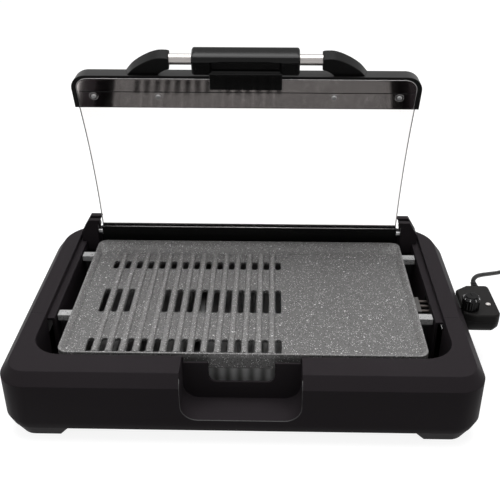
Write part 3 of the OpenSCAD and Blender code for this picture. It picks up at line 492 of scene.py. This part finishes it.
glass_rear_hw, glass_front_hw = 0.212, 0.208
glass_start, glass_end = 0.009, 0.246
glass_rear_rise, glass_end_rise = 0.0005, 0.0072
bend_outer_r, bend_mid_r = 0.780, 0.778
edge_band_r = 0.0006
slope = math.atan2(glass_end_rise - glass_rear_rise, glass_end - glass_start)
half_chord = math.hypot(glass_end - glass_start, glass_end_rise - glass_rear_rise) / 2
dip = math.sqrt(bend_outer_r**2 - half_chord**2)
bend_reach = (glass_start + glass_end) / 2 + dip * math.sin(slope)
bend_rise = (glass_rear_rise + glass_end_rise) / 2 - dip * math.cos(slope)
edge_band_start, edge_band_end, edge_band_count = glass_start + 0.008, glass_end - 0.002, 40
edge_reach = np.linspace(edge_band_start, edge_band_end, edge_band_count)
edge_rise = bend_rise + np.sqrt(bend_mid_r**2 - (edge_reach - bend_reach) ** 2)
edge_x = np.interp(edge_reach, [glass_start, glass_end], [glass_rear_hw, glass_front_hw]) - edge_band_r
# grey bands along the pane's two side edges
grey_edge_band = Finish("grey_glass_edge", Roughness=0.35)
grey_edge_band.colour(grey_edge_band.noise(300, detail=3), grey(0.22), grey(0.34))
grey_edge_band.relief(grey_edge_band.noise(1500, detail=2), depth=0.00005, strength=0.3)
for side, label in ((-1, "left"), (1, "right")):
    edge_path = on_lid(np.stack([side * edge_x, edge_reach, edge_rise], 1))
    glass_edge = tube("glass_edge_" + label, edge_path, edge_band_r, sides=8)
    grey_edge_band.on(glass_edge)
    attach(glass_edge, "lid")

# Hinge bar and clamp strip: satin black mouldings that clamp the pane's rear edge between them. The bar
# is bored for the hinge rod.
satin = Finish("satin_black", Base_Color=grey(0.008), Specular_IOR_Level=0.06)
satin.rough(satin.noise(40, detail=3), low=0.32, span=0.1)
satin.relief(satin.noise(900, detail=2), depth=0.0001, strength=0.15, under=satin.soft_edges(0.0012))
satin.on(nodes["lid_hinge_bar"], nodes["lid_clamp_strip"])
smoothed(nodes["lid_hinge_bar"], nodes["lid_clamp_strip"], edge=0.0008)

# Front trim: satin black moulding held on the pane's front edge by four plain steel screws. One section runs
# across the lid; towards each end its front part is drawn back round a well rounded corner.
lid_reach = 0.284
trim_hw, trim_r = 0.212, 0.020
trim_section = np.array([
    [0, 0.0030], [-0.0002, 0.0038], [-0.0080, 0.0250], [-0.0092, 0.0270], [-0.0120, 0.0286],
    [-0.0145, 0.0290], [-0.0170, 0.0288], [-0.0440, 0.0164], [-0.0460, 0.0148], [-0.0460, 0.0089],
    [-0.0377, 0.0078], [-0.0377, 0.0029], [-0.0480, 0.0040], [-0.0480, 0.0016], [-0.0040, 0.0026],
    [-0.0006, 0.0026]])
still_behind, drawn_over = 0.0378, 0.020
corner_count = 19


def trim_places(section):
    """Places of the trim's surface: the section at each station across the lid, drawn back at the corners.

    Round a corner by an angle a, x is the corner's middle + radius * sin a and the pull is radius * (1 -
    cos a). The pull is taken whole at the front, less behind, and not at all at the clamped rear.
    """
    corner_turn = np.radians(np.linspace(0, 90, corner_count))
    corner_x = trim_hw - trim_r + trim_r * np.sin(corner_turn)
    corner_pull = trim_r * (1 - np.cos(corner_turn))
    x = np.concatenate([-corner_x[::-1], corner_x])[:, None]
    pull = np.concatenate([corner_pull[::-1], corner_pull])[:, None]
    share = np.clip((section[:, 0] + still_behind) / drawn_over, 0, 1)
    reach = lid_reach + section[:, 0] - pull * share
    x, rise = np.broadcast_to(x, reach.shape), np.broadcast_to(section[:, 1], reach.shape)
    return on_lid(np.stack([x, reach, rise], 2).reshape(-1, 3)), len(reach)


trim_points, trim_stations = trim_places(trim_section)
trim = add_mesh("front_trim", trim_points, capped_faces(trim_stations, len(trim_section)))
smoothed(trim)
satin.on(trim)
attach(trim, "lid")
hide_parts("lid_front_trim")
steel.on(nodes["lid_screws"])
smoothed(nodes["lid_screws"])


# Mirror panel: dark metallized plate set in the inner face of the front trim, with rounded front corners.
# It is half a millimetre thick.
def inner_face(reach):
    """Rise of the trim's inner face: 1.6 mm at a reach of 236 mm, and 1 mm more for each 44 mm forward."""
    return 0.0016 + (np.asarray(reach, float) - 0.236) / 44


def lid_slab(name, plan, first_rise, second_rise, smooth=True, turned=False):
    """Plate on the lid: its plan at one rise, the same plan at the other, and a wall between them.

    Turned reverses every face, for a plan that runs round the other way.
    """
    layers = [np.column_stack([plan, np.broadcast_to(rise, len(plan))]) for rise in (first_rise, second_rise)]
    *walls, first_face, second_face = capped_faces(2, len(plan))
    faces = [first_face, second_face, *walls]
    if turned:
        faces = [face[::-1] for face in faces]
    return add_mesh(name, on_lid(np.vstack(layers)), faces, smooth)


panel_half = trim_hw - 0.0075
panel_front, panel_rear = lid_reach - 0.0045, lid_reach - 0.0465
panel_front_r, panel_rear_r = 0.014, 0.003
panel_top, panel_under = 0.0001, 0.0006
panel_plan = np.vstack([
    arc(panel_half - panel_front_r, panel_front - panel_front_r, panel_front_r, 0, 90),
    arc(panel_front_r - panel_half, panel_front - panel_front_r, panel_front_r, 90, 180),
    arc(panel_rear_r - panel_half, panel_rear + panel_rear_r, panel_rear_r, 180, 270),
    arc(panel_half - panel_rear_r, panel_rear + panel_rear_r, panel_rear_r, 270, 360)])
panel_face = inner_face(panel_plan[:, 1])
panel = lid_slab("trim_panel", panel_plan, panel_face - panel_top, panel_face - panel_under, smooth=False)
mirror = Finish("dark_mirror", Base_Color=(0.50, 0.465, 0.455, 1), Metallic=1.0)
mirror.rough(mirror.noise(25, detail=3), low=0.05, span=0.05)
mirror.relief(mirror.noise(35, detail=2), depth=0.0003, strength=0.08)
mirror.on(panel)
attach(panel, "lid")

# Polished beads: thin bright metal lines round the panel and along the hinge bar, and a ring round each of
# the trim's four screws. The trim's inner face also has a black crease across it.
thread_r = 0.0005
bead_gap, bead_sunk = 0.0008, 0.0003
bead_half, bead_front, bead_rear = panel_half + bead_gap, panel_front + bead_gap, panel_rear
bead_r = panel_front_r + bead_gap
bead_plan = np.vstack([
    [[bead_half, bead_rear]], arc(bead_half - bead_r, bead_front - bead_r, bead_r, 0, 90),
    arc(bead_r - bead_half, bead_front - bead_r, bead_r, 90, 180), [[-bead_half, bead_rear]]])
bead_path = on_lid(np.column_stack([bead_plan, inner_face(bead_plan[:, 1]) - bead_sunk]))
bead = tube("trim_bead", bead_path, thread_r, sides=8)
polished = Finish("polished_bead", Base_Color=(0.36, 0.35, 0.35, 1), Metallic=1.0)
polished.rough(polished.noise(300, detail=2), low=0.2, span=0.1)
polished.on(bead)
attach(bead, "lid")
screw_reach = lid_reach - 0.030
ring_r, ring_thick_r = 0.0052, 0.0007
for screw_x in (-0.186, -0.107, 0.107, 0.186):
    ring_plan = arc(screw_x, screw_reach, ring_r, 0, 345, count=24)
    ring_path = on_lid(np.column_stack([ring_plan, inner_face(ring_plan[:, 1])]))
    ring_name = "screw_ring_%d" % round(screw_x * 1000)
    ring = tube(ring_name, np.vstack([ring_path, ring_path[:1]]), ring_thick_r, sides=8)
    polished.on(ring)
    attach(ring, "lid")
crease_reach, crease_half, crease_sunk = lid_reach - 0.0232, 0.203, 0.0006
crease_rise = inner_face(crease_reach) - crease_sunk
crease_path = on_lid([[x, crease_reach, crease_rise] for x in (-crease_half, 0, crease_half)])
crease = tube("trim_crease", crease_path, thread_r, sides=8)
satin.on(crease)
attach(crease, "lid")
line_half, line_reach, line_rise = 0.2125, 0.0168, -0.0047
line_path = on_lid([[x, line_reach, line_rise] for x in (-line_half, 0, line_half)])
line = tube("hinge_bar_line", line_path, thread_r, sides=8)
polished.on(line)
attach(line, "lid")

# Handle grip: gloss black moulding round the middle of the tube. Its inner face has a shallow arched pocket
# for the fingertips, and a tab of the same plastic wraps over the trim's lip.
grip_hw, grip_low, grip_high = 0.064, 0.0022, 0.028
grip_rear, grip_front = lid_reach + 0.001, lid_reach + 0.0268
front_r, low_rear_r, high_rear_r = 0.006, 0.003, 0.004
low_front, low_rear, low_count = grip_front - 0.0065, grip_rear + 0.0035, 24
grip_section = np.vstack([
    arc(grip_front - front_r, grip_low + front_r, front_r, 0, -90),
    np.stack([np.linspace(low_front, low_rear, low_count), np.full(low_count, grip_low)], 1),
    arc(grip_rear + low_rear_r, grip_low + low_rear_r, low_rear_r, -90, -180, count=5),
    arc(grip_rear + high_rear_r, grip_high - high_rear_r, high_rear_r, 180, 90, count=6),
    arc(grip_front - front_r, grip_high - front_r, front_r, 90, 0)])
end_round, end_shrink = 0.003, 0.16
pocket_hw, pocket_depth = 0.0425, 0.0030
pocket_side, pocket_front_slope, pocket_rear_slope = 0.0025, 0.0015, 0.002
pocket_rear, arch_top, arch_drop = grip_rear + 0.003, grip_front - 0.005, 0.0035


def grip_places(station, section):
    """Places of the grip's surface, by the station along it, -1 to 1, and the section's (reach, rise) points.

    Over the last 3 mm at each end the section shrinks about its middle by a quarter circle, by 16% at the
    very end. The low face is sunk by the pocket's depth inside an arch, whose top is its front less a drop
    that grows with the square of the station, and slopes to nothing at the pocket's edges.
    """
    station = station[:, None]
    x = station * grip_hw
    close = np.maximum(0, (np.abs(x) - (grip_hw - end_round)) / end_round)
    shrink = 1 - end_shrink * (1 - np.sqrt(np.maximum(0, 1 - close * close)))
    middle_reach, middle_rise = (grip_front + grip_rear) / 2, (grip_low + grip_high) / 2
    reach = middle_reach + (section[:, 0] - middle_reach) * shrink
    rise = middle_rise + (section[:, 1] - middle_rise) * shrink
    arch = arch_top - arch_drop * station**2
    across = np.clip((pocket_hw - np.abs(x)) / pocket_side, 0, 1)
    to_front = np.clip((arch - section[:, 0]) / pocket_front_slope, 0, 1)
    to_rear = np.clip((section[:, 0] - pocket_rear) / pocket_rear_slope, 0, 1)
    low_face = np.abs(section[:, 1] - grip_low) < 1e-6
    rise = rise + np.where(low_face, pocket_depth * across * to_front * to_rear, 0)
    return on_lid(np.stack([np.broadcast_to(x, rise.shape), reach, rise], 2).reshape(-1, 3))


grip_stations = np.linspace(-1, 1, 97)
grip = add_mesh(
    "grip", grip_places(grip_stations, grip_section), capped_faces(len(grip_stations), len(grip_section)))
grip.modifiers.new("smoothing", "NODES").node_group = smoothing
gloss = Finish("gloss_black", Base_Color=grey(0.004), Specular_IOR_Level=0.15)
gloss.rough(gloss.noise(30, detail=3), low=0.10, span=0.06)
gloss.relief(gloss.noise(60, detail=2), depth=0.0002, strength=0.05, under=gloss.soft_edges(0.0012))
gloss.on(grip)
tab_hw, tab_rear, tab_front = 0.0435, lid_reach - 0.0185, lid_reach + 0.006
tab_low = 0.0001
tab_corners = [
    [x, reach, rise] for rise in (tab_low, grip_low) for x, reach in
    ((-tab_hw, tab_rear), (tab_hw, tab_rear), (tab_hw, tab_front), (-tab_hw, tab_front))]
tab = add_mesh(
    "grip_tab", on_lid(tab_corners),
    [[0, 3, 2, 1], [4, 5, 6, 7], [0, 1, 5, 4], [1, 2, 6, 5], [2, 3, 7, 6], [3, 0, 4, 7]], smooth=False)
smoothed(tab, edge=0.001)
gloss.on(tab)
for piece in (grip, tab):
    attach(piece, "lid")
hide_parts("handle_grip")

# Handle posts: satin black horns, each moulded in one piece, that sweep up from the trim to the ends of the
# tube. Each is 17.6 mm thick, with well rounded edges.
post_gap, post_foot, tip = 0.091, 0.147, lid_reach + 0.0225
post_low, post_high = 0.0072, 0.0248
outline_step = 0.0015
horn = np.array([
    [post_gap, tip - 0.0010], [post_gap + 0.004, tip], [post_gap + 0.013, tip - 0.0001],
    [post_gap + 0.021, tip - 0.0024], [post_gap + 0.029, tip - 0.0062], [post_gap + 0.038, tip - 0.0118],
    [post_gap + 0.047, tip - 0.0193], [post_foot, lid_reach - 0.0082]])
hollow = np.array([
    [post_gap + 0.020, lid_reach - 0.0082], [post_gap + 0.012, tip - 0.022], [post_gap + 0.005, tip - 0.0174],
    [post_gap, tip - 0.016]])
post_outline = np.vstack([
    through(np.column_stack([side_points, np.zeros(len(side_points))]), outline_step)[:, :2]
    for side_points in (horn, hollow)])
for side, label in ((-1, "left"), (1, "right")):
    post = lid_slab("post_" + label, post_outline * [side, 1], post_low, post_high, turned=side > 0)
    smoothed(post, edge=0.0028)
    satin.on(post)
    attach(post, "lid")
    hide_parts("handle_post_" + label)

# Handle tube and hinge rod: stainless steel. The tube is brushed, with the lines running round it, and held
# in the two posts; the rod is plain drawn steel and turns in the brackets.
brushed = Finish("brushed_steel", Base_Color=(0.36, 0.34, 0.33, 1), Metallic=1.0)
brush_lines = brushed.noise(900, detail=2, stretch=(3, 0.3, 0.3))
brushed.rough(brush_lines, low=0.22, span=0.2)
brushed.relief(brush_lines, depth=0.00005, strength=0.25)
brushed.on(nodes["handle_tube"])
steel.on(nodes["hinge_rod"])
smoothed(nodes["handle_tube"], nodes["hinge_rod"])

# Control shell: satin black plastic in two halves that close on a darker nose. The nose carries the sensor
# probe, in a heat-dulled steel sheath, and two brass sleeves that take the element's terminal pins.
shell = Finish("control_plastic", Base_Color=grey(0.011, 0.05), Specular_IOR_Level=0.06)
shell.rough(shell.noise(30, detail=3), low=0.36, span=0.1)
shell.relief(shell.noise(1100, detail=2), depth=0.0001, strength=0.18, under=shell.soft_edges(0.0014))
shell.on(nodes["control_top"], nodes["control_bottom"])
smoothed(nodes["control_top"], nodes["control_bottom"], edge=0.001)
inner.on(nodes["control_nose"])
sheath.on(nodes["sensor_probe"])
contact = Finish("contact_brass", Base_Color=(0.75, 0.55, 0.25, 1), Metallic=1.0, Roughness=0.3)
contact.relief(contact.noise(900, detail=2), depth=0.00005, strength=0.2)
contact.on(nodes["control_contacts"])
smoothed(nodes["sensor_probe"], nodes["control_contacts"])

# Dial: gloss black fluted plastic under a satin cap, pushed on the control's shaft. The numbers 0 to 5 are
# printed in white round the front of its cone.
gloss.on(nodes["control_dial"])
smoothed(nodes["control_dial"])
satin.on(nodes["dial_cap"])
print_white = Finish("printed_white", Roughness=0.5)
print_white.colour(print_white.noise(500, detail=2), grey(0.6), grey(0.72))
dial_x, dial_y, dial_cone_z, dial_cone_r = 0.2884, -0.01875, 0.1005, 0.00995
cone_slope = math.radians(50)
numeral_size, numeral_extrude = 0.0036, 0.00006
numeral_front, numeral_step, numeral_middle = -90, 42, 2.5


def on_dial(flat, turn):
    """Places on the dial's cone of flat (across, height, depth) points, turned about the dial's axis.

    With slope s, out is cone radius - height * cos s + depth * sin s, and up is cone height + height * sin s
    + depth * cos s. Out and across then turn with the dial.
    """
    across, height, depth = flat.T
    out = dial_cone_r - height * math.cos(cone_slope) + depth * math.sin(cone_slope)
    up = dial_cone_z + height * math.sin(cone_slope) + depth * math.cos(cone_slope)
    x = dial_x + out * math.cos(turn) - across * math.sin(turn)
    y = dial_y + out * math.sin(turn) + across * math.cos(turn)
    return np.stack([x, y, up], 1)


for step, label in enumerate("012345"):
    typed = bpy.data.curves.new("numeral_" + label, "FONT")
    typed.body = label
    typed.size = numeral_size
    typed.extrude = numeral_extrude
    typed.align_x = "CENTER"
    typed.align_y = "CENTER"
    drawn = bpy.data.objects.new("typed_" + label, typed)
    scene.collection.objects.link(drawn)
    bpy.context.view_layer.update()
    cut = bpy.data.meshes.new_from_object(drawn.evaluated_get(bpy.context.evaluated_depsgraph_get()))
    flat_points = np.empty(3 * len(cut.vertices), np.float32)
    cut.vertices.foreach_get("co", flat_points)
    faces = [list(face.vertices) for face in cut.polygons]
    bpy.data.objects.remove(drawn)
    turn = math.radians(numeral_front + (step - numeral_middle) * numeral_step)
    places = on_dial(flat_points.reshape(-1, 3).astype(float), turn)
    numeral = add_mesh("numeral_" + label, places, faces, smooth=False)
    print_white.on(numeral)
    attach(numeral, "dial")

# Lamp: a small grey-white lens of clear-coated plastic, pressed into the control's top beside the dial. It
# is unlit.
lens = Finish("lamp_lens", Base_Color=(0.5, 0.47, 0.45, 1), Roughness=0.15, Coat_Weight=0.5)
lens.relief(lens.noise(400, detail=2), depth=0.0001, strength=0.2)
lens.on(nodes["control_lamp"])

# Worktop: not part of the grill. It is matte grey to the lamps, so that it keeps the grill's shadow, and
# glows white to the camera, in gloss and through the glass.
floor = add_mesh("floor", [[-9, -6, 0], [9, -6, 0], [9, 14, 0], [-9, 14, 0]], [[0, 1, 2, 3]])
worktop = Finish("worktop", Base_Color=grey(0.25), Roughness=0.9, Specular_IOR_Level=0.0)
matte = Value(worktop.tree, worktop.shader.outputs[0])
glow = worktop.node("Emission", Color=(1, 1, 1, 1), Strength=0.88)
bright = worktop.node("AddShader", numbered={0: matte, 1: glow})
seen = worktop.node("LightPath", out="Is Camera Ray")
for kind in ("Is Glossy Ray", "Is Transmission Ray"):
    seen = seen + worktop.node("LightPath", out=kind)
shown = worktop.node("MixShader", numbered={0: seen.above(0.5), 1: matte, 2: bright})
worktop.set(worktop.tree.nodes["Material Output"], 0, shown)
worktop.on(floor)

# Surround: not part of the grill. It is white where the camera, gloss or glass shows it, and a dim even light
# on everything else.
world = bpy.data.worlds.new("surround")
world.use_nodes = True
scene.world = world
world_level = 0.3
backdrop = world.node_tree.nodes["Background"]
backdrop.inputs[0].default_value = (1, 1, 1, 1)
ray = world.node_tree.nodes.new("ShaderNodeLightPath")
straight = Value(world.node_tree, ray.outputs["Is Camera Ray"])
for kind in ("Is Glossy Ray", "Is Transmission Ray"):
    straight = straight + Value(world.node_tree, ray.outputs[kind])
strength = straight.above(0.5) * (1 - world_level) + world_level
world.node_tree.links.new(strength.socket, backdrop.inputs[1])


# Lamps: not part of the grill. One large soft lamp above gives nearly all the light, and two weak ones fill
# in from the left and the right.
def area_lamp(name, place, target, size, power):
    """Square lamp at a place, turned so that it faces its target."""
    data = bpy.data.lights.new(name, "AREA")
    data.shape = "SQUARE"
    data.size = size
    data.energy = power
    lamp = bpy.data.objects.new(name, data)
    lamp.location = place
    way = np.array(target, float) - np.array(place, float)
    level_way = math.hypot(way[0], way[1])
    lamp.rotation_euler = (math.atan2(level_way, -way[2]), 0, math.atan2(way[1], way[0]) - math.pi / 2)
    scene.collection.objects.link(lamp)


area_lamp("lamp_top", place=(0.0, 0.1, 2.2), target=(0, 0, 0), size=1.8, power=56)
area_lamp("lamp_left", place=(-1.8, -1.0, 1.5), target=(0, 0, 0.1), size=1.2, power=4)
area_lamp("lamp_right", place=(2.0, -0.6, 1.3), target=(0, 0, 0.1), size=1.2, power=3)

scene.view_settings.view_transform = "Standard"
